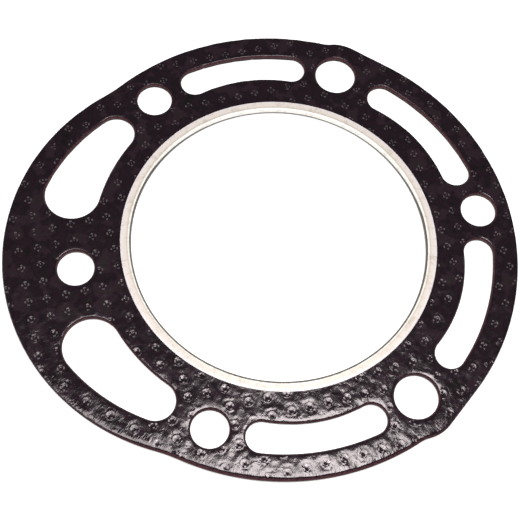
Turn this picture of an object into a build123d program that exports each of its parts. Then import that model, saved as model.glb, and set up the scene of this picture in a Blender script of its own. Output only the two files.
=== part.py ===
from build123d import *
from math import acos, ceil, cos, degrees, radians, sin
import os

# Cylinder head gasket of a water-cooled engine, lying flat.
# The origin is the centre of the cylinder bore at half the thickness.
# +Z points to the head, and +X to the side opposite the wide water passages.
# The outline is the same on both sides of the X axis.

# Sandwich of facing, steel core and facing
body_thickness = 1.6
core_thickness = 0.25

# Fire ring: sheet steel folded round the bore edge of the sandwich
bore_radius = 35.7
lip_width = 2.6
ring_thickness = 0.2
fold_bevel_width = 0.2
ring_clearance = 0.2

# Lands between the lip of the ring, the bolt circle and the rim
inner_land_width = 11.3
outer_land_width = 8.7

# Outer edge: a round rim, a bulge over the wide passages, and two ears at the dowels
bulge_height = 7.7
bulge_offset = 15.2
bulge_blend_radius = 45.0
ear_height = 1.05
ear_blend_radius = 6.0

# Holes. The dowels stand on the bolt circle, and the studs a little outside or inside it
stud_hole_radius = 4.35
dowel_hole_radius = 5.15
front_stud_offset = 0.8
rear_stud_offset = -0.55
side_stud_offset = -0.1
dowel_angle = 61.9
side_stud_angle = 119.3
rear_stud_angle = 180.0

# Narrow water passages, each between two holes, and the angles that keep them clear of those
narrow_inner_land_width = 7.3
narrow_outer_land_width = 6.05
narrow_bow_radius = 35.6
front_stud_clear_angle = 13.3
dowel_front_clear_angle = 15.8
dowel_rear_clear_angle = 13.7
side_stud_front_clear_angle = 13.5

# Wide water passages, under the bulge
wide_inner_land_width = 6.55
wide_outer_land_width = 6.15
side_stud_rear_clear_angle = 16.0
rear_stud_clear_angle = 22.5

# Marks that the tangs of the core leave in the upper facing, on a square grid
tang_pitch_length = 4.36
tang_grid_offset = 1.76
tang_grid_angle = 4.2
tang_mark_width = 1.3
tang_mark_depth = 0.3
tang_mark_margin = 0.7

# Radii that follow
web_radius = bore_radius + ring_thickness
lip_radius = bore_radius + lip_width
bolt_circle_radius = lip_radius + inner_land_width
rim_radius = bolt_circle_radius + outer_land_width
bulge_radius = rim_radius + bulge_height - bulge_offset
ear_radius = outer_land_width + ear_height
narrow_inner_radius = lip_radius + narrow_inner_land_width
narrow_outer_radius = rim_radius - narrow_outer_land_width
wide_inner_radius = lip_radius + wide_inner_land_width
wide_outer_radius = bulge_radius - wide_outer_land_width

bore_centre = Vector(0, 0)
bulge_centre = Vector(-bulge_offset, 0)


def polar(reach, angle):
    return Vector(reach * cos(radians(angle)), reach * sin(radians(angle)))


def both_sides(shape):
    return shape + mirror(shape, about=Plane.XZ)


def arc_about(centre, start, end):
    """The shorter arc about a centre, from start to end."""
    middle = (start - centre).normalized() + (end - centre).normalized()
    return ThreePointArc(start, centre + middle.normalized() * (start - centre).length, end)


# Outer edge

def blend_centre(other_reach, other_angle, other_radius, blend_radius, side):
    """Centre of the hollow blend that touches the rim and another round edge from outside."""
    reach = rim_radius + blend_radius
    other_side = other_radius + blend_radius
    turn = acos((reach ** 2 + other_reach ** 2 - other_side ** 2) / (2 * reach * other_reach))
    return polar(reach, other_angle + side * degrees(turn))


def upper_edge():
    """Upper half of the outer edge, from the front, past the ear and over the bulge to the rear."""
    front = polar(rim_radius, 0)
    rear = bulge_centre - Vector(bulge_radius, 0)
    # The ear runs straight down to the rim on its front side
    ear_centre = polar(bolt_circle_radius, dowel_angle)
    flank_angle = dowel_angle - degrees(acos((rim_radius - ear_radius) / bolt_circle_radius))
    flank_foot = polar(rim_radius, flank_angle)
    flank_top = ear_centre + polar(ear_radius, flank_angle)
    # Hollow blends behind the ear and in front of the bulge
    ear_blend = blend_centre(bolt_circle_radius, dowel_angle, ear_radius, ear_blend_radius, 1)
    ear_foot = ear_blend.normalized() * rim_radius
    ear_end = ear_centre + (ear_blend - ear_centre).normalized() * ear_radius
    bulge_blend = blend_centre(bulge_offset, 180, bulge_radius, bulge_blend_radius, -1)
    bulge_foot = bulge_blend.normalized() * rim_radius
    bulge_start = bulge_centre + (bulge_blend - bulge_centre).normalized() * bulge_radius
    return [
        arc_about(bore_centre, front, flank_foot),
        Line(flank_foot, flank_top),
        arc_about(ear_centre, flank_top, ear_end),
        arc_about(ear_blend, ear_end, ear_foot),
        arc_about(bore_centre, ear_foot, bulge_foot),
        arc_about(bulge_blend, bulge_foot, bulge_start),
        arc_about(bulge_centre, bulge_start, rear),
    ]


def outer_edge():
    upper = upper_edge()
    lower = [mirror(edge, about=Plane.XZ) for edge in upper]
    return make_face(upper + lower)


# Water passages

def passage(inner_centre, inner_radius, outer_centre, outer_radius, first_angle, last_angle):
    """Kidney slot between two round edges, each end a full round that touches both."""
    # One edge is centred on the bore. Reach to an end's centre, from the sum of both radii
    off_centre = inner_centre + outer_centre
    radius_sum = inner_radius + outer_radius
    ends = []
    for angle in (first_angle, last_angle):
        towards = polar(1, angle)
        reach = (radius_sum ** 2 - off_centre.length ** 2) / (2 * (radius_sum - towards.dot(off_centre)))
        ends.append(towards * reach)
    first, last = ends
    middle = (first + last) * 0.5

    def on_inner(point):
        return inner_centre + (point - inner_centre).normalized() * inner_radius

    def on_outer(point):
        return outer_centre + (point - outer_centre).normalized() * outer_radius

    def tip(end, other):
        across = (on_outer(end) - on_inner(end)) * 0.5
        along = Vector(across.Y, -across.X)
        if along.dot(other - end) > 0:
            along = -along
        return (on_outer(end) + on_inner(end)) * 0.5 + along

    return make_face([
        ThreePointArc(on_inner(first), on_inner(middle), on_inner(last)),
        ThreePointArc(on_inner(last), tip(last, first), on_outer(last)),
        ThreePointArc(on_outer(last), on_outer(middle), on_outer(first)),
        ThreePointArc(on_outer(first), tip(first, last), on_inner(first)),
    ])


def narrow_passage(first_angle, last_angle):
    bow_centre = polar(narrow_inner_radius - narrow_bow_radius, (first_angle + last_angle) / 2)
    return passage(bow_centre, narrow_bow_radius, bore_centre, narrow_outer_radius, first_angle, last_angle)


def front_passage():
    return narrow_passage(front_stud_clear_angle, dowel_angle - dowel_front_clear_angle)


def side_passage():
    return narrow_passage(
        dowel_angle + dowel_rear_clear_angle, side_stud_angle - side_stud_front_clear_angle
    )


def wide_passage():
    return passage(
        bore_centre, wide_inner_radius, bulge_centre, wide_outer_radius,
        side_stud_angle + side_stud_rear_clear_angle, rear_stud_angle - rear_stud_clear_angle,
    )


# Sheet outline that core and facings share

def stud_hole(offset, angle):
    return Pos(polar(bolt_circle_radius + offset, angle)) * Circle(stud_hole_radius)


def holes():
    cuts = stud_hole(front_stud_offset, 0) + stud_hole(rear_stud_offset, rear_stud_angle)
    cuts += both_sides(stud_hole(side_stud_offset, side_stud_angle))
    cuts += both_sides(Pos(polar(bolt_circle_radius, dowel_angle)) * Circle(dowel_hole_radius))
    cuts += both_sides(front_passage())
    cuts += both_sides(side_passage())
    cuts += both_sides(wide_passage())
    return cuts


sheet_outline = outer_edge() - Circle(web_radius + ring_clearance) - holes()


def sheet(bottom, thickness):
    return Pos(0, 0, bottom) * extrude(sheet_outline, amount=thickness)


# Marks of the tangs

def tang_places():
    """Places on the grid where a whole mark lies clear of the ring and of every edge."""
    shown = outer_edge() - Circle(lip_radius) - holes()
    mark_reach = tang_mark_width / 2 + tang_mark_margin
    edges = shown.edges()
    count = 2 * ceil((rim_radius + bulge_height) / tang_pitch_length) + 1
    grid = GridLocations(tang_pitch_length, tang_pitch_length, count, count)
    shift = Pos(0, tang_grid_offset)
    places = []
    for spot in grid:
        place = Rot(0, 0, tang_grid_angle) * shift * spot
        point = place.position
        if shown.is_inside(point) and min(edge.distance_to(point) for edge in edges) > mark_reach:
            places.append(place)
    return places


def tang_marks(top):
    """Pyramid pits, as the four leaves of each tang leave them where they come through."""
    mouth = Pos(0, 0, top) * Rectangle(tang_mark_width, tang_mark_width)
    pit = loft([mouth.face(), Vertex(0, 0, top - tang_mark_depth)])
    return [place * pit for place in tang_places()]


# Core and facings

facing_thickness = (body_thickness - core_thickness) / 2
steel_core = sheet(-core_thickness / 2, core_thickness)
lower_facing = sheet(-body_thickness / 2, facing_thickness)
upper_facing = sheet(core_thickness / 2, facing_thickness) - tang_marks(body_thickness / 2)

# Fire ring

def fire_ring_section():
    """U section open to the outside: two lips that grip the sandwich, and a web at the bore."""
    lip_top = body_thickness / 2 + ring_thickness
    outside = Pos((bore_radius + lip_radius) / 2, 0) * Rectangle(lip_width, 2 * lip_top)
    outside = chamfer(outside.vertices().sort_by(Axis.X)[:2], fold_bevel_width)
    inside = Pos((web_radius + lip_radius) / 2, 0) * Rectangle(lip_radius - web_radius, body_thickness)
    return outside - inside


fire_ring = revolve(Plane.XZ * fire_ring_section(), Axis.Z)

# Hand-in of the pieces

pieces = {
    "steel_core": steel_core,
    "lower_facing": lower_facing,
    "upper_facing": upper_facing,
    "fire_ring": fire_ring,
}

os.makedirs("parts", exist_ok=True)
for name, piece in pieces.items():
    piece.label = name
    export_step(piece, f"parts/{name}.step")
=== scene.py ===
import math

import bmesh
import bpy
import numpy as np
from mathutils import Matrix, Vector, geometry, kdtree, noise


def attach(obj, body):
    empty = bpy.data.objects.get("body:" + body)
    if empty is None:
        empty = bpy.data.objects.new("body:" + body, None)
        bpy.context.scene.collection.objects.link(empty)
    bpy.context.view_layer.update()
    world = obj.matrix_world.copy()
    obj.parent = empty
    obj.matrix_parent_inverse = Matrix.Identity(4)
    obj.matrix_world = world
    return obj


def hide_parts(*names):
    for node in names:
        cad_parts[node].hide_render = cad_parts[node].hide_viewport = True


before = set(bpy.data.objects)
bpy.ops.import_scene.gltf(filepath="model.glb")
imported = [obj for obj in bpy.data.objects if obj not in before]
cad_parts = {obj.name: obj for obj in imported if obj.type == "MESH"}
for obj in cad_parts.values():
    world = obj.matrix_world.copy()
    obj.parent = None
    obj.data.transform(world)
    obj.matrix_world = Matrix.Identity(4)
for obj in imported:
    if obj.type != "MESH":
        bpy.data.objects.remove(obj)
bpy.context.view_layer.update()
MM = 0.001
chance = np.random.default_rng(11)

# Steel core. A thin mild steel sheet, blanked to the gasket's outline together with the
# facings that it carries. Only its cut edge shows, as a fine pale line halfway up each wall.
# Lengths are in millimetres up to where a mesh is made, and angles in degrees.

CORE_TOP = 0.125
CORE_EDGE = [(0.0, 0.02), (0.03, 0.0)]
EDGE_STEP = 0.45
BORE_CENTRE = Vector((0.0, 0.0))
BORE_EDGE_RADIUS = 36.55
RIM_RADIUS = 58.28
BULGE_CENTRE = Vector((-15.2, 0.0))
BULGE_RADIUS = 50.8
BULGE_BLEND_RADIUS = 45.0
EAR_RADIUS = 9.75
EAR_BLEND_RADIUS = 6.0

BOLT_CIRCLE_RADIUS = 49.6
DOWEL_ANGLE = 61.9
DOWEL_HOLE_RADIUS = 5.15
STUD_HOLE_RADIUS = 4.35
FRONT_STUD_REACH = 50.4
REAR_STUD_REACH = 49.05
SIDE_STUD_REACH = 49.5
SIDE_STUD_ANGLE = 119.3

NARROW_INNER_RADIUS = 45.6
NARROW_OUTER_RADIUS = 52.25
NARROW_BOW_RADIUS = 35.6
WIDE_INNER_RADIUS = 44.85
WIDE_OUTER_RADIUS = 44.65
FRONT_STUD_CLEAR_ANGLE = 13.3
DOWEL_FRONT_CLEAR_ANGLE = 15.8
DOWEL_REAR_CLEAR_ANGLE = 13.7
SIDE_STUD_FRONT_CLEAR_ANGLE = 13.5
SIDE_STUD_REAR_CLEAR_ANGLE = 16.0
REAR_STUD_CLEAR_ANGLE = 22.5

# How far the worked edge of the sheet runs in, as a share of the usual: more at the worn near rim
RIM_WEAR = 0.45
NEAR_RIM_WEAR = 1.05
NEAR_RIM_FROM, NEAR_RIM_TO = -146, -50
NEAR_RIM_BLEND = 24
HOLE_WEAR = 0.8

SHEET_SHARP_ANGLE = 50


def polar(reach, angle):
    return Vector((reach * math.cos(math.radians(angle)), reach * math.sin(math.radians(angle))))


def arc(centre, start, end):
    """Points along the shorter arc from start to end, the end left out."""
    radius = (start - centre).length
    first = math.atan2(start.y - centre.y, start.x - centre.x)
    last = math.atan2(end.y - centre.y, end.x - centre.x)
    turn = (last - first + math.pi) % (2 * math.pi) - math.pi
    count = max(2, round(abs(turn) * radius / EDGE_STEP))
    angles = [first + turn * i / count for i in range(count)]
    return [centre + radius * Vector((math.cos(a), math.sin(a))) for a in angles]


def straight(start, end):
    count = max(2, round((end - start).length / EDGE_STEP))
    return [start.lerp(end, i / count) for i in range(count)]


def round_hole(centre, radius):
    count = round(2 * math.pi * radius / EDGE_STEP)
    return [centre + polar(radius, -360 * i / count) for i in range(count)]


def mirrored(points):
    return [Vector((p.x, -p.y)) for p in reversed(points)]


def blend_centre(other_reach, other_angle, other_radius, blend_radius, side):
    """Centre of the hollow blend between the rim and another round edge."""
    reach = RIM_RADIUS + blend_radius
    across = other_radius + blend_radius
    turn = math.acos((reach ** 2 + other_reach ** 2 - across ** 2) / (2 * reach * other_reach))
    return polar(reach, other_angle + side * math.degrees(turn))


def outer_edge():
    """The blanked rim: round in front, an ear at each dowel hole, a bulge over the wide slots."""
    front = polar(RIM_RADIUS, 0)
    rear = BULGE_CENTRE - Vector((BULGE_RADIUS, 0))
    ear = polar(BOLT_CIRCLE_RADIUS, DOWEL_ANGLE)
    flank = DOWEL_ANGLE - math.degrees(math.acos((RIM_RADIUS - EAR_RADIUS) / BOLT_CIRCLE_RADIUS))
    foot = polar(RIM_RADIUS, flank)
    top = ear + polar(EAR_RADIUS, flank)
    ear_blend = blend_centre(BOLT_CIRCLE_RADIUS, DOWEL_ANGLE, EAR_RADIUS, EAR_BLEND_RADIUS, 1)
    ear_foot = ear_blend.normalized() * RIM_RADIUS
    ear_end = ear + (ear_blend - ear).normalized() * EAR_RADIUS
    bulge_blend = blend_centre(-BULGE_CENTRE.x, 180, BULGE_RADIUS, BULGE_BLEND_RADIUS, -1)
    bulge_foot = bulge_blend.normalized() * RIM_RADIUS
    bulge_start = BULGE_CENTRE + (bulge_blend - BULGE_CENTRE).normalized() * BULGE_RADIUS
    upper = arc(BORE_CENTRE, front, foot) + straight(foot, top) + arc(ear, top, ear_end)
    upper += arc(ear_blend, ear_end, ear_foot) + arc(BORE_CENTRE, ear_foot, bulge_foot)
    upper += arc(bulge_blend, bulge_foot, bulge_start) + arc(BULGE_CENTRE, bulge_start, rear)
    return upper + [rear] + mirrored(upper[1:])


def slot_edge(inner_centre, inner_radius, outer_centre, outer_radius, first_angle, last_angle):
    """A kidney slot between two round edges, with full round ends."""
    offset, both = inner_centre + outer_centre, inner_radius + outer_radius
    ends = []
    for angle in (first_angle, last_angle):
        towards = polar(1, angle)
        twice = 2 * (both - towards.dot(offset))
        ends.append(towards * (both ** 2 - offset.length_squared) / twice)
    first, last = ends

    def inner(point):
        return inner_centre + (point - inner_centre).normalized() * inner_radius

    def outer(point):
        return outer_centre + (point - outer_centre).normalized() * outer_radius

    def end_round(end, other, start, finish):
        along = (finish - start).orthogonal()
        along *= math.copysign(1, along.dot(end - other)) * (start - end).length / along.length
        return arc(end, start, end + along) + arc(end, end + along, finish)

    edge = arc(inner_centre, inner(first), inner(last))
    edge += end_round(last, first, inner(last), outer(last))
    edge += arc(outer_centre, outer(last), outer(first))
    return edge + end_round(first, last, outer(first), inner(first))


def narrow_slot(first_angle, last_angle):
    """A slot between two holes, bowed a little more on the bore's side than about the bore."""
    bow_centre = polar(NARROW_INNER_RADIUS - NARROW_BOW_RADIUS, (first_angle + last_angle) / 2)
    return slot_edge(
        bow_centre, NARROW_BOW_RADIUS, BORE_CENTRE, NARROW_OUTER_RADIUS, first_angle, last_angle
    )


one_side = [
    round_hole(polar(SIDE_STUD_REACH, SIDE_STUD_ANGLE), STUD_HOLE_RADIUS),
    round_hole(polar(BOLT_CIRCLE_RADIUS, DOWEL_ANGLE), DOWEL_HOLE_RADIUS),
    narrow_slot(FRONT_STUD_CLEAR_ANGLE, DOWEL_ANGLE - DOWEL_FRONT_CLEAR_ANGLE),
    narrow_slot(
        DOWEL_ANGLE + DOWEL_REAR_CLEAR_ANGLE, SIDE_STUD_ANGLE - SIDE_STUD_FRONT_CLEAR_ANGLE
    ),
    slot_edge(
        BORE_CENTRE, WIDE_INNER_RADIUS, BULGE_CENTRE, WIDE_OUTER_RADIUS,
        SIDE_STUD_ANGLE + SIDE_STUD_REAR_CLEAR_ANGLE, 180 - REAR_STUD_CLEAR_ANGLE,
    ),
]
cuts = [
    round_hole(BORE_CENTRE, BORE_EDGE_RADIUS),
    round_hole(Vector((FRONT_STUD_REACH, 0)), STUD_HOLE_RADIUS),
    round_hole(Vector((-REAR_STUD_REACH, 0)), STUD_HOLE_RADIUS),
]
cuts += one_side + [mirrored(points) for points in one_side]


def turned(points, anticlockwise):
    """The loop as an array, running so that the sheet lies on its left."""
    loop = np.array([tuple(p) for p in points])
    after = np.roll(loop, -1, 0)
    area = (loop[:, 0] * after[:, 1] - after[:, 0] * loop[:, 1]).sum()
    return loop if (area > 0) == anticlockwise else loop[::-1].copy()


loops = [turned(outer_edge(), True)] + [turned(points, False) for points in cuts]


def inward(loop):
    """Unit vectors from each point of an edge into the sheet."""
    along = np.roll(loop, -1, 0) - np.roll(loop, 1, 0)
    along /= np.hypot(along[:, 0], along[:, 1])[:, None]
    return np.stack([-along[:, 1], along[:, 0]], 1)


inwards = [inward(loop) for loop in loops]
rim_turn = np.degrees(np.arctan2(loops[0][:, 1], loops[0][:, 0]))
worn_in = np.clip((rim_turn - NEAR_RIM_FROM) / NEAR_RIM_BLEND, 0, 1)
worn_out = np.clip((NEAR_RIM_TO - rim_turn) / NEAR_RIM_BLEND, 0, 1)
rim_wear = RIM_WEAR + NEAR_RIM_WEAR * worn_in * worn_out
wears = [rim_wear[:, None]] + [np.full((len(loop), 1), HOLE_WEAR) for loop in loops[1:]]
edge_points, edge_inwards = np.concatenate(loops), np.concatenate(inwards)
edge_wear = np.concatenate(wears)[:, 0]
edge_tree = kdtree.KDTree(len(edge_points))
for number, point in enumerate(edge_points):
    edge_tree.insert((point[0], point[1], 0.0), number)
edge_tree.balance()


def edge_depths(points):
    """How far each point lies inside the sheet's edge, plain and as a share of the edge's wear."""
    nearest = [edge_tree.find((x, y, 0.0))[1] for x, y in points]
    depth = ((points - edge_points[nearest]) * edge_inwards[nearest]).sum(1)
    return depth, depth / edge_wear[nearest]


def flat_faces(points, edges, inset):
    """Triangles that fill the outline, drawn in by the inset, through all the points given."""
    found = geometry.delaunay_2d_cdt([Vector(p) for p in points], edges, [], 0, 1e-7)
    places = np.array([tuple(p) for p in found[0]])
    faces = np.array(found[2])
    centres = places[faces].mean(1)
    return places, faces[edge_depths(centres)[1] > inset]


def sheet_mesh(name, inset, levels, wall_levels, inner_points, face_height, face_z, back_z):
    """A blanked sheet. Its levels are inset and drop of the worked edge, the first few cut wall."""
    up = math.copysign(1, face_z - back_z)
    verts, quads, rings = [], [], []
    for depth, drop in [(inset, None)] + levels:
        rows = []
        for loop, into, wear in zip(loops, inwards, wears):
            flat = loop + into * depth * wear
            if drop is None:
                z = np.full(len(flat), back_z)
            else:
                z = face_z + up * (face_height(flat) - drop)
            rows.append(range(len(verts), len(verts) + len(flat)))
            verts += np.column_stack([flat, z]).tolist()
        rings.append(rows)
    for below, above in zip(rings, rings[1:]):
        for a, b in zip(below, above):
            n = len(a)
            quads += [(a[i], a[(i + 1) % n], b[(i + 1) % n], b[i]) for i in range(n)]
    wall_count = sum(len(loop) for loop in loops)

    def cap(rows, depth, extra, z_of):
        """The flat or coated side between the loops of one level."""
        flat = [verts[i][:2] for row in rows for i in row]
        edges, start = [], 0
        for row in rows:
            n = len(row)
            edges += [(start + i, start + (i + 1) % n) for i in range(n)]
            start += n
        places, faces = flat_faces(flat + list(extra), edges, depth)
        known = [i for row in rows for i in row]
        if not np.allclose(places[: len(flat)], np.array(flat), atol=1e-5):
            raise ValueError("the outline's points moved")
        index = np.arange(len(places)) + len(verts) - len(known)
        index[: len(known)] = known
        fresh = places[len(known):]
        if len(fresh):
            verts.extend(np.column_stack([fresh, z_of(fresh)]).tolist())
        return index[faces]

    face = cap(
        rings[-1], levels[-1][0], inner_points, lambda points: face_z + up * face_height(points)
    )
    back = cap(rings[0], inset, [], lambda points: np.full(len(points), back_z))
    faces = quads + face.tolist() + back[:, ::-1].tolist()
    if up < 0:
        faces = [tuple(reversed(f)) for f in faces]
    mesh = bpy.data.meshes.new(name)
    mesh.from_pydata([[c * MM for c in v] for v in verts], [], faces)
    slots = np.zeros(len(faces), np.int32)
    slots[: wall_count * wall_levels] = 1
    mesh.polygons.foreach_set("material_index", slots)
    mesh.polygons.foreach_set("use_smooth", np.ones(len(faces), bool))
    mesh.update()
    piece = bpy.data.objects.new(name, mesh)
    bpy.context.scene.collection.objects.link(piece)
    piece.data.set_sharp_from_angle(angle=math.radians(SHEET_SHARP_ANGLE))
    return piece


def new_material(name):
    material = bpy.data.materials.new(name)
    material.use_nodes = True
    return material, material.node_tree.nodes, material.node_tree.links


def noise_node(nodes, links, size, detail, roughness=0.5, distortion=0.0):
    """Noise whose grains are about size millimetres across."""
    place = nodes.new("ShaderNodeTexCoord")
    grain = nodes.new("ShaderNodeTexNoise")
    grain.inputs["Scale"].default_value = 1 / (size * MM)
    grain.inputs["Detail"].default_value = detail
    grain.inputs["Roughness"].default_value = roughness
    grain.inputs["Distortion"].default_value = distortion
    links.new(place.outputs["Object"], grain.inputs["Vector"])
    return grain.outputs["Fac"]


def ramp_node(nodes, links, source, *stops):
    """A colour ramp, from pairs of place and colour."""
    ramp = nodes.new("ShaderNodeValToRGB")
    elements = ramp.color_ramp.elements
    while len(elements) < len(stops):
        elements.new(0.5)
    for element, (place, colour) in zip(elements, stops):
        element.position = place
        element.color = (*colour, 1)
    links.new(source, ramp.inputs["Fac"])
    return ramp.outputs["Color"]


def math_node(nodes, links, operation, first, second):
    node = nodes.new("ShaderNodeMath")
    node.operation = operation
    links.new(first, node.inputs[0])
    links.new(second, node.inputs[1])
    return node.outputs[0]


def range_node(nodes, links, source, low, high, to_low, to_high, clamp=True):
    ranged = nodes.new("ShaderNodeMapRange")
    ranged.clamp = clamp
    ranged.inputs["From Min"].default_value = low
    ranged.inputs["From Max"].default_value = high
    ranged.inputs["To Min"].default_value = to_low
    ranged.inputs["To Max"].default_value = to_high
    links.new(source, ranged.inputs["Value"])
    return ranged.outputs["Result"]


core_steel, nodes, links = new_material("cut_core_steel")
steel = nodes["Principled BSDF"]
steel.inputs["Metallic"].default_value = 0.3
steel.inputs["Specular IOR Level"].default_value = 0.2
stain = noise_node(nodes, links, 0.7, 4)
rust = ramp_node(nodes, links, stain, (0.35, (0.022, 0.010, 0.010)), (0.7, (0.10, 0.055, 0.05)))
links.new(rust, steel.inputs["Base Color"])
links.new(range_node(nodes, links, stain, 0.3, 0.7, 0.35, 0.6), steel.inputs["Roughness"])


def flat_height(points):
    return np.zeros(len(points))


core = sheet_mesh(
    "steel_core_sheet", inset=0.0, levels=CORE_EDGE, wall_levels=2, inner_points=[],
    face_height=flat_height, face_z=CORE_TOP, back_z=-CORE_TOP,
)
core.data.materials.append(core_steel)
core.data.materials.append(core_steel)
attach(core, "root")
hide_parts("steel_core")

# Facings. Soft fibre sheet with a thin dark glossy coat, rolled onto the tanged core. Each tang
# comes through and pushes up a small ring, and the face sinks round it, between tangs and at
# every cut edge.

FACE_Z = 0.8
LIP_RADIUS = 38.3
TANG_PITCH = 4.36
TANG_TURN = math.radians(4.2)
TANG_SHIFT = 1.76
TANG_STRAY = 0.22
TANG_REACH = 16
LUCK_COUNT = 64

# The mesh is finest round each tang, in rings given as radius and count of points
SITE_REACH = 1.4
SITE_RINGS = (
    (0.12, 8), (0.26, 10), (0.55, 14), (0.82, 16), (0.94, 20), (1.04, 20), (1.15, 20), (1.28, 20),
)
RING_CLEARANCE = 0.1

# Between the tangs it is an even net of triangles
GRID_STEP = 0.62
GRID_ROW_SHARE = 0.866
GRID_HALF_LENGTH, GRID_HALF_WIDTH = 67, 60
GRID_CLEARANCE = 0.35

# Worked edge, from the cut wall to the coated face, as inset and drop
WORKED_WIDTH = 0.62
UPPER_INSET = 0.13
UPPER_EDGE = [
    (0.17, 0.40), (0.26, 0.20), (0.36, 0.09), (0.44, 0.035), (0.52, 0.010), (WORKED_WIDTH, 0.0),
]
LOWER_INSET = 0.02
LOWER_EDGE = [
    (0.03, 0.45), (0.05, 0.22), (0.08, 0.09), (0.13, 0.02), (0.28, 0.0), (WORKED_WIDTH, 0.0),
]

# Relief of the coated face: reach, height and width of each form. How far a tang is pushed up
# differs from one to the next, by the least share and a part of the span more.
RIDGE_REACH, RIDGE_HEIGHT, RIDGE_WIDTH = 1.05, 0.035, 0.09
GROOVE_REACH, GROOVE_DEPTH, GROOVE_WIDTH = 1.22, 0.030, 0.10
DENT_DEPTH, DENT_WIDTH = 0.09, 1.35
PUSH_LEAST, PUSH_SPAN = 0.6, 0.8
PIT_DEPTH, PIT_WIDTH = 0.28, 0.10
FAR_TANG_DEPTH, FAR_TANG_WIDTH = 0.06, 0.8
FAR_TANG_LEAST = 0.5
SHOULDER_DEPTH, SHOULDER_WIDTH = 0.11, 1.5
LIP_DENT_DEPTH, LIP_DENT_WIDTH = 0.04, 0.3
LIP_CLEARANCE, LIP_BLEND = 0.05, 0.5
LONG_WAVE_HEIGHT, LONG_WAVE_LENGTH = 0.050, 7.0
SHORT_WAVE_HEIGHT, SHORT_WAVE_LENGTH = 0.055, 3.4
CREASE_DEPTH, CREASE_LENGTH = 0.040, 1.9

# Radii between which the radial streaks of the worn rim come up
STREAKS_FROM, STREAKS_FULL = 55.6, 57.0

site_luck = chance.uniform(0.0, 1.0, (LUCK_COUNT, LUCK_COUNT, 6))


def tang_local(points, half):
    """Place of each point from its nearest tang, along the grid, and that tang's numbers."""
    cosine, sine = math.cos(TANG_TURN), math.sin(TANG_TURN)
    x = points[:, 0] * cosine + points[:, 1] * sine
    y = -points[:, 0] * sine + points[:, 1] * cosine - TANG_SHIFT
    u, v = x / TANG_PITCH - half, y / TANG_PITCH - half
    iu, iv = np.round(u).astype(int), np.round(v).astype(int)
    first_row = LUCK_COUNT // 4 if half else LUCK_COUNT // 2
    luck = site_luck[(iu + LUCK_COUNT // 2) % LUCK_COUNT, (iv + first_row) % LUCK_COUNT]
    dx = (u - iu) * TANG_PITCH + (luck[:, 0] - 0.5) * TANG_STRAY
    dy = (v - iv) * TANG_PITCH + (luck[:, 1] - 0.5) * TANG_STRAY
    return dx, dy, luck


def swell(distance, width):
    return np.exp(-((distance / width) ** 2))


def waves(points, half):
    """Slow waves and finer creases that rolling leaves in the soft facing."""

    def rolled(x, y, length, layer):
        return noise.noise(Vector((x / length, y / length, layer + half)))

    rows = []
    for x, y in points:
        wave = LONG_WAVE_HEIGHT * rolled(x, y, LONG_WAVE_LENGTH, 3.0)
        wave += SHORT_WAVE_HEIGHT * rolled(x, y, SHORT_WAVE_LENGTH, 7.0)
        rows.append(wave - CREASE_DEPTH * abs(rolled(x, y, CREASE_LENGTH, 11.0)))
    return np.array(rows)


def face_relief(half):
    """Height of a facing's coated face over its nominal plane."""

    def height(points):
        dx, dy, luck = tang_local(points, half)
        reach = np.hypot(dx, dy)
        pushed = RIDGE_HEIGHT * swell(reach - RIDGE_REACH, RIDGE_WIDTH)
        pushed -= GROOVE_DEPTH * swell(reach - GROOVE_REACH, GROOVE_WIDTH)
        dent = -DENT_DEPTH * swell(reach, DENT_WIDTH)
        pit = PIT_DEPTH * swell(reach, PIT_WIDTH)
        other_x, other_y, other_luck = tang_local(points, 0.5 - half)
        other_reach = np.hypot(other_x, other_y)
        far_side = -FAR_TANG_DEPTH * (FAR_TANG_LEAST + other_luck[:, 3])
        far_side *= swell(other_reach, FAR_TANG_WIDTH)
        relief = (pushed + dent) * (PUSH_LEAST + PUSH_SPAN * luck[:, 2]) - pit + far_side
        relief += waves(points, half)
        depth = np.clip(edge_depths(points)[0], 0, None)
        relief -= SHOULDER_DEPTH * np.clip(1 - depth / SHOULDER_WIDTH, 0, 1) ** 2
        bore_reach = np.hypot(points[:, 0], points[:, 1])
        clear = np.clip((bore_reach - LIP_RADIUS - LIP_CLEARANCE) / LIP_BLEND, 0, 1)
        return relief * clear - LIP_DENT_DEPTH * swell(bore_reach - LIP_RADIUS, LIP_DENT_WIDTH)

    return height


def tang_sites(half):
    """Centres of the tangs that come through a facing."""
    steps = np.arange(-TANG_REACH, TANG_REACH + 1)
    u, v = np.meshgrid(steps, steps)
    x = (u.ravel() + half) * TANG_PITCH
    y = (v.ravel() + half) * TANG_PITCH + TANG_SHIFT
    cosine, sine = math.cos(TANG_TURN), math.sin(TANG_TURN)
    sites = np.stack([x * cosine - y * sine, x * sine + y * cosine], 1)
    luck = tang_local(sites, half)[2]
    aside, onward = ((0.5 - luck[:, :2]) * TANG_STRAY).T
    sites += np.stack([aside * cosine - onward * sine, aside * sine + onward * cosine], 1)
    sites = sites[np.hypot(sites[:, 0], sites[:, 1]) > LIP_RADIUS - SITE_REACH]
    return sites[edge_depths(sites)[0] > -SITE_REACH / 2]


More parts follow.
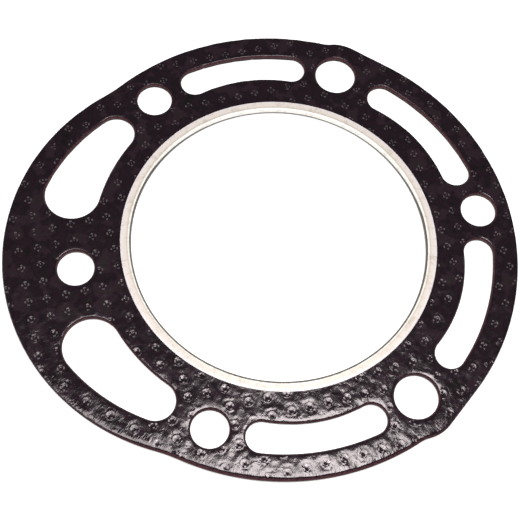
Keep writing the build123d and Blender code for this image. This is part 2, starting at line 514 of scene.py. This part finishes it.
def face_points(half):
    """Points that carry the relief: rings round each tang, and an even net between them."""
    sites = tang_sites(half)
    found = [sites]
    for n, (reach, count) in enumerate(SITE_RINGS):
        angles = TANG_TURN + 2 * math.pi * (np.arange(count) + 0.5 * (n % 2)) / count
        spokes = reach * np.stack([np.cos(angles), np.sin(angles)], 1)
        found.append((sites[:, None] + spokes[None]).reshape(-1, 2))
    rings = np.concatenate(found)
    rings = rings[edge_depths(rings)[1] > WORKED_WIDTH + RING_CLEARANCE]
    x, y = np.meshgrid(
        np.arange(-GRID_HALF_LENGTH, GRID_HALF_LENGTH, GRID_STEP),
        np.arange(-GRID_HALF_WIDTH, GRID_HALF_WIDTH, GRID_STEP * GRID_ROW_SHARE),
    )
    x[::2] += GRID_STEP / 2
    net = np.stack([x.ravel(), y.ravel()], 1)
    net = net[edge_depths(net)[1] > WORKED_WIDTH + GRID_CLEARANCE]
    tree = kdtree.KDTree(len(sites))
    for n, site in enumerate(sites):
        tree.insert((site[0], site[1], 0), n)
    tree.balance()
    return np.concatenate([rings, net[[tree.find((a, b, 0))[2] > SITE_REACH for a, b in net]]])


def radial_noise(nodes, links, reach, across, along, detail):
    """Noise drawn out along the radius: grains across wide and along long, in millimetres."""
    place = nodes.new("ShaderNodeTexCoord")
    flat = nodes.new("ShaderNodeVectorMath")
    flat.operation = "MULTIPLY"
    flat.inputs[1].default_value = (1, 1, 0)
    links.new(place.outputs["Object"], flat.inputs[0])
    length = nodes.new("ShaderNodeVectorMath")
    length.operation = "LENGTH"
    links.new(flat.outputs["Vector"], length.inputs[0])
    heading = nodes.new("ShaderNodeVectorMath")
    heading.operation = "NORMALIZE"
    links.new(flat.outputs["Vector"], heading.inputs[0])
    turn = nodes.new("ShaderNodeVectorMath")
    turn.operation = "SCALE"
    turn.inputs["Scale"].default_value = reach / across
    links.new(heading.outputs["Vector"], turn.inputs[0])
    outward = nodes.new("ShaderNodeCombineXYZ")
    stretched = range_node(nodes, links, length.outputs["Value"], 0, along * MM, 0, 1, False)
    links.new(stretched, outward.inputs["Z"])
    both = nodes.new("ShaderNodeVectorMath")
    both.operation = "ADD"
    links.new(turn.outputs["Vector"], both.inputs[0])
    links.new(outward.outputs["Vector"], both.inputs[1])
    grain = nodes.new("ShaderNodeTexNoise")
    grain.inputs["Scale"].default_value = 1
    grain.inputs["Detail"].default_value = detail
    links.new(both.outputs["Vector"], grain.inputs["Vector"])
    return grain.outputs["Fac"], length.outputs["Value"]


def bump_node(nodes, links, height, depth, strength, under=None):
    """Bump of a depth in millimetres, over another one where that is given."""
    bump = nodes.new("ShaderNodeBump")
    bump.inputs["Distance"].default_value = depth * MM
    if isinstance(strength, float):
        bump.inputs["Strength"].default_value = strength
    else:
        links.new(strength, bump.inputs["Strength"])
    links.new(height, bump.inputs["Height"])
    if under:
        links.new(under, bump.inputs["Normal"])
    return bump.outputs["Normal"]


coat, nodes, links = new_material("dark_coated_fibre")
skin = nodes["Principled BSDF"]
skin.inputs["IOR"].default_value = 1.5
skin.inputs["Specular Tint"].default_value = (1.0, 0.90, 0.91, 1)
cloud = noise_node(nodes, links, 4.5, 4, 0.6)
mottle = ramp_node(
    nodes, links, cloud,
    (0.30, (0.0030, 0.0028, 0.0028)), (0.42, (0.0120, 0.0045, 0.0090)),
    (0.50, (0.0060, 0.0030, 0.0052)), (0.58, (0.0200, 0.0088, 0.0150)),
    (0.70, (0.0140, 0.0104, 0.0102)),
)
links.new(mottle, skin.inputs["Base Color"])
patch = noise_node(nodes, links, 2.4, 5, 0.6, 0.8)
links.new(range_node(nodes, links, patch, 0.35, 0.65, 0.11, 0.23), skin.inputs["Roughness"])
streak, reach = radial_noise(nodes, links, STREAKS_FULL, across=0.32, along=1.6, detail=3)
near_rim = range_node(nodes, links, reach, STREAKS_FROM * MM, STREAKS_FULL * MM, 0, 0.7)
crinkle = noise_node(nodes, links, 1.3, 2, 0.5, 0.5)
fibre = noise_node(nodes, links, 0.22, 3)
worn = bump_node(nodes, links, fibre, 0.012, 0.5)
worn = bump_node(nodes, links, crinkle, 0.09, 0.6, worn)
worn = bump_node(nodes, links, streak, 0.045, near_rim, worn)
links.new(worn, skin.inputs["Normal"])

cut_fibre, nodes, links = new_material("cut_fibre_edge")
edge = nodes["Principled BSDF"]
edge.inputs["Roughness"].default_value = 0.8
edge.inputs["Specular IOR Level"].default_value = 0.0
grain = noise_node(nodes, links, 0.4, 5, 0.65)
place = nodes.new("ShaderNodeTexCoord")
parts = nodes.new("ShaderNodeSeparateXYZ")
links.new(place.outputs["Object"], parts.inputs["Vector"])
# Coloured by height: the lower facing darker than the upper, and near black at the foot of the wall as
# painted shade
rise = range_node(nodes, links, parts.outputs["Z"], -FACE_Z * MM, FACE_Z * MM, 0, 1)
layer = ramp_node(
    nodes, links, rise,
    (0.10, (0.005, 0.002, 0.002)), (0.44, (0.016, 0.005, 0.005)), (0.56, (0.082, 0.028, 0.031)),
    (0.72, (0.075, 0.028, 0.036)), (0.92, (0.050, 0.026, 0.034)),
)
torn = nodes.new("ShaderNodeMix")
torn.data_type = "RGBA"
torn.blend_type = "MULTIPLY"
torn.inputs["Factor"].default_value = 1
links.new(layer, torn.inputs["A"])
tufts = ramp_node(nodes, links, grain, (0.35, (0.55, 0.50, 0.52)), (0.70, (1.9, 2.0, 1.95)))
links.new(tufts, torn.inputs["B"])
links.new(torn.outputs["Result"], edge.inputs["Base Color"])
links.new(bump_node(nodes, links, grain, 0.08, 0.6), edge.inputs["Normal"])

# The tangs that point down stand half a step further along the grid than those that point up
for name, node, half, up, inset, levels in (
    ("upper_facing_sheet", "upper_facing", 0.0, 1, UPPER_INSET, UPPER_EDGE),
    ("lower_facing_sheet", "lower_facing", 0.5, -1, LOWER_INSET, LOWER_EDGE),
):
    facing = sheet_mesh(
        name, inset, levels, wall_levels=3, inner_points=face_points(half),
        face_height=face_relief(half), face_z=up * FACE_Z, back_z=up * CORE_TOP,
    )
    facing.data.materials.append(coat)
    facing.data.materials.append(cut_fibre)
    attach(facing, "root")
    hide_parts(node)

# Tang tips. Four small leaves at each punched hole of the core, pushed up through the facing
# and bent outwards over it, so that only their bright folded ends show in the dark coat.

# One leaf, from its foot to its end: reach, half its spread as an angle, height of its middle
# and of its sides. The first rows are coated.
LEAF_ROWS = (
    (0.15, 34, 0.0, -0.03), (0.22, 38, 0.020, -0.02), (0.59, 37, 0.034, -0.02),
    (0.74, 26, 0.054, -0.04), (0.91, 18, 0.050, -0.06), (1.02, 9, -0.06, -0.06),
)
LEAF_COLUMNS = (-1.0, -0.78, 0.0, 0.78, 1.0)
COATED_ROWS = 2
LEAF_MIDDLE = 0.72
LEAF_END = LEAF_ROWS[-1][0]

# Each leaf's length, width and height are the least share and a part of the span more
LEAF_LEAST = np.array((0.90, 0.7, 0.7))
LEAF_SPAN = np.array((0.16, 0.5, 0.7))
LEAF_TWIST = 0.22
LEAF_LOSS = 0.06
LEAF_EDGE_CLEARANCE = 0.4
LEAF_LIP_CLEARANCE = 0.45
LEAF_SHARP_ANGLE = 25

tip_steel, nodes, links = new_material("tang_steel")
tip = nodes["Principled BSDF"]
tip.inputs["Metallic"].default_value = 0.3
tip.inputs["IOR"].default_value = 2.2
tip.inputs["Specular Tint"].default_value = (1.0, 0.88, 0.91, 1)
smear = noise_node(nodes, links, 0.9, 3)
rubbed = ramp_node(
    nodes, links, smear, (0.36, (0.014, 0.010, 0.012)), (0.62, (0.112, 0.086, 0.096))
)
links.new(rubbed, tip.inputs["Base Color"])
links.new(range_node(nodes, links, smear, 0.3, 0.7, 0.42, 0.28), tip.inputs["Roughness"])

leaf_points, leaf_faces, coated = [], [], []
for reach, spread, rise, side in LEAF_ROWS:
    for share in LEAF_COLUMNS:
        angle = math.radians(share * spread)
        z = rise if abs(share) < 1 else side
        leaf_points.append((reach * math.cos(angle), reach * math.sin(angle), z))
for row in range(len(LEAF_ROWS) - 1):
    for column in range(len(LEAF_COLUMNS) - 1):
        i = row * len(LEAF_COLUMNS) + column
        leaf_faces.append((i, i + len(LEAF_COLUMNS), i + len(LEAF_COLUMNS) + 1, i + 1))
        coated.append(row < COATED_ROWS)
leaf_points = np.array(leaf_points)

for name, half, up in (("upper_tang_tips", 0.0, 1), ("lower_tang_tips", 0.5, -1)):
    sites = np.repeat(tang_sites(half), 4, 0)
    own = chance.uniform(0, 1, (len(sites), 5))
    twists = (own[:, 0] - 0.5) * LEAF_TWIST
    turns = TANG_TURN + (np.arange(len(sites)) % 4 + twists) * math.pi / 2
    headings = np.stack([np.cos(turns), np.sin(turns)], 1)
    middles = sites + LEAF_MIDDLE * headings
    bases = face_relief(half)(middles)
    clear = edge_depths(middles)[1] > WORKED_WIDTH
    clear &= edge_depths(sites + LEAF_END * headings)[0] > LEAF_EDGE_CLEARANCE
    clear &= edge_depths(sites)[0] > LEAF_EDGE_CLEARANCE
    clear &= np.hypot(middles[:, 0], middles[:, 1]) > LIP_RADIUS + LEAF_LIP_CLEARANCE
    clear &= own[:, 1] > LEAF_LOSS
    verts, faces = [], []
    for place, (cosine, sine), base, lot in zip(
        sites[clear], headings[clear], bases[clear], own[clear]
    ):
        leaf = leaf_points * (LEAF_LEAST + LEAF_SPAN * lot[2:])
        x = place[0] + leaf[:, 0] * cosine - leaf[:, 1] * sine
        y = place[1] + leaf[:, 0] * sine + leaf[:, 1] * cosine
        start = len(verts)
        verts += (np.column_stack([x, y, up * (FACE_Z + base + leaf[:, 2])]) * MM).tolist()
        faces += [tuple(start + i for i in (face if up > 0 else face[::-1])) for face in leaf_faces]
    mesh = bpy.data.meshes.new(name)
    mesh.from_pydata(verts, [], faces)
    mesh.polygons.foreach_set("use_smooth", np.ones(len(faces), bool))
    mesh.polygons.foreach_set("material_index", np.tile(coated, clear.sum()).astype(np.int32))
    mesh.update()
    tips = bpy.data.objects.new(name, mesh)
    bpy.context.scene.collection.objects.link(tips)
    tips.data.set_sharp_from_angle(angle=math.radians(LEAF_SHARP_ANGLE))
    tips.data.materials.append(tip_steel)
    tips.data.materials.append(coat)
    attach(tips, "root")

# Fire ring. A strip of bright tinned steel folded in a U round the bore edge of the sandwich, so
# that the flame meets metal only. The press leaves round folds and faint radial streaks. The bore
# side of the fold is painted dark, as painted shade and a painted dark reflection.

RING_INNER = 35.7
CREST_RADIUS = 36.4
CREST_Z = 0.985
STRIP_THICKNESS = 0.2
STRIP_EDGE_GAP = 0.03
SPOKES = 720
FOLD_STEPS = 23
RING_SHARP_ANGLE = 40
LIP_TOP = (
    (38.27, 0.87), (38.25, 0.915), (38.20, 0.945), (38.10, 0.962), (37.90, 0.970),
    (37.5, 0.966), (37.15, 0.955), (36.90, 0.945), (36.72, 0.950), (36.56, 0.970),
)

# Shallow waves that the press leaves on the lips
PRESS_WAVE_HEIGHT = 0.010
PRESS_SINK = 0.004
PRESS_WAVES = 22
PRESS_STRETCH = 0.6
PRESS_FROM_Z = 0.04
PRESS_FROM_CREST = 0.3

# Radii at which the lip's colours begin, the lip's middle, and half the reach of the painted shade
# band
LIP_COLOURS_FROM = 35.6
LIP_MIDDLE_RADIUS = 37.0
SHADE_BAND_HALF = 34


def fold(radius, height):
    """The round fold, from under its upper crest to under the lower one."""
    angles = np.linspace(math.pi / 2, -math.pi / 2, FOLD_STEPS)
    depth = CREST_RADIUS - radius
    return [(CREST_RADIUS - depth * math.cos(a), height * math.sin(a)) for a in angles]


strip_edge = LIP_RADIUS - STRIP_EDGE_GAP
profile = [(strip_edge, FACE_Z)] + list(LIP_TOP) + fold(RING_INNER, CREST_Z)
profile += [(r, -z) for r, z in reversed(LIP_TOP)] + [(strip_edge, -FACE_Z)]
profile += fold(RING_INNER + STRIP_THICKNESS, FACE_Z)[::-2]

bm = bmesh.new()
rows = []
for spoke in range(SPOKES):
    angle = 2 * math.pi * spoke / SPOKES
    cosine, sine = math.cos(angle), math.sin(angle)
    row = []
    for r, z in profile:
        press = 0.0
        if abs(z) > FACE_Z + PRESS_FROM_Z and r > CREST_RADIUS - PRESS_FROM_CREST:
            spot = Vector((cosine * PRESS_WAVES, sine * PRESS_WAVES, r * PRESS_STRETCH))
            press = PRESS_WAVE_HEIGHT * noise.noise(spot) - PRESS_SINK
        z += math.copysign(press, z)
        row.append(bm.verts.new((r * cosine * MM, r * sine * MM, z * MM)))
    rows.append(row)
count = len(profile)
for spoke in range(SPOKES):
    here, there = rows[spoke], rows[(spoke + 1) % SPOKES]
    for i in range(count):
        j = (i + 1) % count
        bm.faces.new((here[i], here[j], there[j], there[i])).smooth = True
bmesh.ops.recalc_face_normals(bm, faces=bm.faces)
mesh = bpy.data.meshes.new("fire_ring_steel")
bm.to_mesh(mesh)
bm.free()
ring = bpy.data.objects.new("fire_ring_steel", mesh)
bpy.context.scene.collection.objects.link(ring)
ring.data.set_sharp_from_angle(angle=math.radians(RING_SHARP_ANGLE))

tinned, nodes, links = new_material("tinned_ring_steel")
metal = nodes["Principled BSDF"]
metal.inputs["Metallic"].default_value = 0.12
metal.inputs["Specular IOR Level"].default_value = 0.3
streak, reach = radial_noise(nodes, links, LIP_MIDDLE_RADIUS, across=0.45, along=1.3, detail=4)
lip_place = range_node(nodes, links, reach, LIP_COLOURS_FROM * MM, LIP_RADIUS * MM, 0, 1)
lip_colour = ramp_node(
    nodes, links, lip_place,
    (0.24, (0.97, 0.94, 0.89)), (0.31, (0.86, 0.80, 0.74)), (0.38, (0.64, 0.55, 0.47)),
    (0.50, (0.78, 0.70, 0.64)), (0.76, (0.80, 0.72, 0.67)), (0.86, (0.82, 0.74, 0.72)),
    (0.95, (0.87, 0.80, 0.81)),
)
haze = noise_node(nodes, links, 1.8, 6, 0.7, 0.8)
stain = nodes.new("ShaderNodeMix")
stain.data_type = "RGBA"
stain.blend_type = "MULTIPLY"
links.new(range_node(nodes, links, streak, 0.35, 0.6, 1.0, 0.3), stain.inputs["Factor"])
links.new(lip_colour, stain.inputs["A"])
smudges = ramp_node(nodes, links, haze, (0.36, (0.72, 0.69, 0.64)), (0.52, (1.0, 1.0, 1.0)))
links.new(smudges, stain.inputs["B"])
place = nodes.new("ShaderNodeTexCoord")
parts = nodes.new("ShaderNodeSeparateXYZ")
links.new(place.outputs["Object"], parts.inputs["Vector"])
# The painted shade band reaches up to the crest on the near side, and to the middle of the fold on the
# far
slant = nodes.new("ShaderNodeVectorMath")
slant.operation = "DOT_PRODUCT"
slant.inputs[1].default_value = (0.34, 0.94, 0)
links.new(place.outputs["Object"], slant.inputs[0])
along = range_node(
    nodes, links, slant.outputs["Value"], -SHADE_BAND_HALF * MM, SHADE_BAND_HALF * MM, 0, 1
)
shade_top = ramp_node(
    nodes, links, along,
    (0.0, (0.982, 0.982, 0.982)), (0.32, (0.91, 0.91, 0.91)),
    (0.68, (0.84, 0.84, 0.84)), (1.0, (0.08, 0.08, 0.08)),
)
level = range_node(nodes, links, parts.outputs["Z"], 0, MM, 0, 1, False)
over = math_node(nodes, links, "SUBTRACT", level, shade_top)
unshaded_fold = range_node(nodes, links, over, -0.03, 0.03, 0, 1)
unshaded_lip = range_node(
    nodes, links, reach, (CREST_RADIUS - 0.05) * MM, (CREST_RADIUS + 0.01) * MM, 0, 1
)
bright = math_node(nodes, links, "MAXIMUM", unshaded_fold, unshaded_lip)
# Painted shade and painted dark reflection: below the height set above, the fold takes a dark colour
colour_and_shade = nodes.new("ShaderNodeMix")
colour_and_shade.data_type = "RGBA"
colour_and_shade.inputs["A"].default_value = (0.095, 0.082, 0.067, 1)
links.new(bright, colour_and_shade.inputs["Factor"])
links.new(stain.outputs["Result"], colour_and_shade.inputs["B"])
links.new(colour_and_shade.outputs["Result"], metal.inputs["Base Color"])
links.new(range_node(nodes, links, haze, 0.3, 0.7, 0.48, 0.34), metal.inputs["Roughness"])
links.new(bump_node(nodes, links, streak, 0.02, 0.4), metal.inputs["Normal"])
ring.data.materials.append(tinned)
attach(ring, "root")
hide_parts("fire_ring")

# Table. A plain white table top that the gasket lies on. It is a flat sheet, painted, and shows
# white to the camera and in the metal, while it keeps the gasket's shadow.

# In metres
TABLE_HALF = 3.0
TABLE_Z = -0.001

TABLE_GLOW = 0.55

corners = [(-TABLE_HALF, -TABLE_HALF), (TABLE_HALF, -TABLE_HALF)]
corners += [(TABLE_HALF, TABLE_HALF), (-TABLE_HALF, TABLE_HALF)]
floor_mesh = bpy.data.meshes.new("table_top")
floor_mesh.from_pydata([(x, y, TABLE_Z) for x, y in corners], [], [(0, 1, 2, 3)])
floor = bpy.data.objects.new("table_top", floor_mesh)
bpy.context.scene.collection.objects.link(floor)
white, nodes, links = new_material("white_table")
paint = nodes["Principled BSDF"]
paint.inputs["Base Color"].default_value = (0.8, 0.8, 0.8, 1)
paint.inputs["Roughness"].default_value = 0.9
paint.inputs["Specular IOR Level"].default_value = 0.1
path = nodes.new("ShaderNodeLightPath")
seen = math_node(nodes, links, "MAXIMUM", path.outputs["Is Camera Ray"], path.outputs["Is Glossy Ray"])
seen = math_node(nodes, links, "MAXIMUM", seen, path.outputs["Is Transmission Ray"])
glow = range_node(nodes, links, seen, 0, 1, 0, TABLE_GLOW)
paint.inputs["Emission Color"].default_value = (1, 1, 1, 1)
links.new(glow, paint.inputs["Emission Strength"])
floor.data.materials.append(white)

# Light. A soft box above the near edge, whose reflection lies on the near part of the coat,
# and a weaker one at its left for the worn rim there, in a room white low down and grey overhead.

# Heights are sines of the angle over the horizon
WHITE_UP_TO, GREY_FROM = 0.10, 0.32
OVERHEAD_GREY = 0.16

# In metres, as are the places and sizes of the boxes
BOX_HEIGHT = 0.300

world = bpy.data.worlds.new("pale_room")
bpy.context.scene.world = world
world.use_nodes = True
nodes, links = world.node_tree.nodes, world.node_tree.links
room = nodes["Background"]
room.inputs["Color"].default_value = (1, 1, 1, 1)
aim = nodes.new("ShaderNodeTexCoord")
parts = nodes.new("ShaderNodeSeparateXYZ")
links.new(aim.outputs["Generated"], parts.inputs["Vector"])
wall = range_node(nodes, links, parts.outputs["Z"], WHITE_UP_TO, GREY_FROM, 1.0, OVERHEAD_GREY)
links.new(wall, room.inputs["Strength"])


def soft_box(name, x, y, size, watts):
    """A light box that hangs level over a place of the table."""
    lamp = bpy.data.lights.new(name, "AREA")
    lamp.shape = "RECTANGLE"
    lamp.size, lamp.size_y = size
    lamp.energy = watts
    box = bpy.data.objects.new(name, lamp)
    bpy.context.scene.collection.objects.link(box)
    box.location = (x, y, BOX_HEIGHT)
    box.rotation_euler = Vector((0, 0, -1)).to_track_quat("-Z", "Y").to_euler()


soft_box("overhead_box", 0.030, -0.042, (0.108, 0.098), 0.68)
soft_box("side_box", -0.100, -0.034, (0.130, 0.080), 0.34)

# Camera. It stands over the near edge and looks down at the middle of the gasket, turned a little
# to the side and held a little askew.

AZIMUTH, ELEVATION, ROLL = math.radians(-18.69), math.radians(66.43), math.radians(8.88)
LOOKED_AT = Vector((-5.59, -4.34, -0.8)) * MM
DISTANCE = 235.6 * MM
SENSOR_WIDTH = 36
FOCAL_LENGTH = 67.88

run = math.cos(ELEVATION)
back = Vector((math.sin(AZIMUTH) * run, -math.cos(AZIMUTH) * run, math.sin(ELEVATION)))
right = Vector((math.cos(AZIMUTH), math.sin(AZIMUTH), 0))
above = back.cross(right)
across = math.cos(ROLL) * right + math.sin(ROLL) * above
upward = math.cos(ROLL) * above - math.sin(ROLL) * right
lens = bpy.data.cameras.new("camera")
lens.sensor_fit = "HORIZONTAL"
lens.sensor_width = SENSOR_WIDTH
lens.lens = FOCAL_LENGTH
lens.clip_start, lens.clip_end = 0.01, 20
camera = bpy.data.objects.new("camera", lens)
bpy.context.scene.collection.objects.link(camera)
place = LOOKED_AT + back * DISTANCE
camera.matrix_world = Matrix((
    (across.x, upward.x, back.x, place.x),
    (across.y, upward.y, back.y, place.y),
    (across.z, upward.z, back.z, place.z),
    (0, 0, 0, 1),
))
bpy.context.scene.camera = camera
bpy.context.scene.view_settings.view_transform = "Standard"
